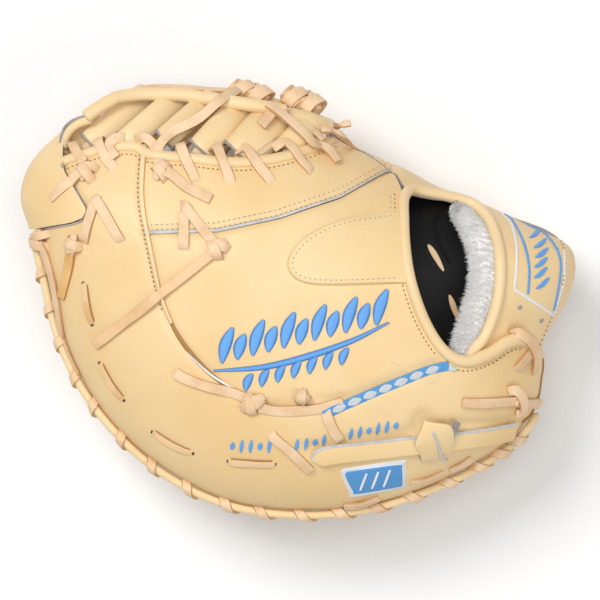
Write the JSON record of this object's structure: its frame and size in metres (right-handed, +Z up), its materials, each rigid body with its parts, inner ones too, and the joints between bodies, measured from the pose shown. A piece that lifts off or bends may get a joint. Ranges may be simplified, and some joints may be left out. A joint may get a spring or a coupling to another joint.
{
  "type": "first baseman mitt",
  "caption": "Left-hand first baseman mitt of blond leather, closed and lying on its thumb half, with a laced web, rolled web post, wrist opening, wool pad and rawhide laces.",
  "frame": {"origin": "middle of the flat patch of the thumb's back that the mitt rests on", "axes": "+X from the finger tips to the wrist, +Y from the open rim to the web's ridge, +Z up from the thumb half to the back of the fingers"},
  "size_m": [0.3351, 0.2686, 0.1527],
  "materials": {
    "shell": "smooth blond steerhide, satin",
    "lace": "rawhide lace, matt",
    "lining": "black, satin",
    "fleece": "white wool pile",
    "patch": "light blue and white thread, matt"
  },
  "bodies": {
    "root": {"outer_panel": "shell", "tip_cap": "shell", "index_panel": "shell", "crotch_panel": "shell", "inner_panel": "shell", "opening_binding": "shell", "web_edge_binding": "shell", "strap_binding": "shell", "wrist_strap": "shell", "fleece": "fleece", "palm": "shell", "hand_lining": "lining", "thumb_back": "shell", "finger_pad": "shell", "heel_patch": "patch", "wrist_patch": "patch", "pull_strap": "shell", "strap_keeper": "shell", "seam_piping": "patch", "finger_rim_binding": "shell", "thumb_rim_binding": "shell", "web_bar_1": "shell", "web_bar_2": "shell", "web_bar_3": "shell", "web_bar_4": "shell", "web_bar_5": "shell", "web_end_flap": "shell", "web_post": "shell", "thumb_web_binding": "shell", "knot_tip": "lace", "knot_web": "lace", "knot_side": "lace", "knot_long": "lace", "knot_loop": "lace", "knot_heel": "lace", "crescent_stitch_1": "lace", "crescent_stitch_2": "lace", "crescent_stitch_3": "lace", "crescent_stitch_4": "lace", "web_stitch_1": "lace", "web_stitch_2": "lace", "web_stitch_3": "lace", "web_stitch_4": "lace", "web_stitch_5": "lace", "lace_v_1": "lace", "lace_v_2": "lace", "tail_tip": "lace", "tail_web": "lace", "tail_long": "lace", "tail_side": "lace", "tail_loop": "lace", "loop_lace": "lace", "loop_lace_low": "lace", "loop_tail": "lace", "heel_tail_left": "lace", "heel_cross_under": "lace", "heel_cross_over": "lace"}
  },
  "joints": []
}
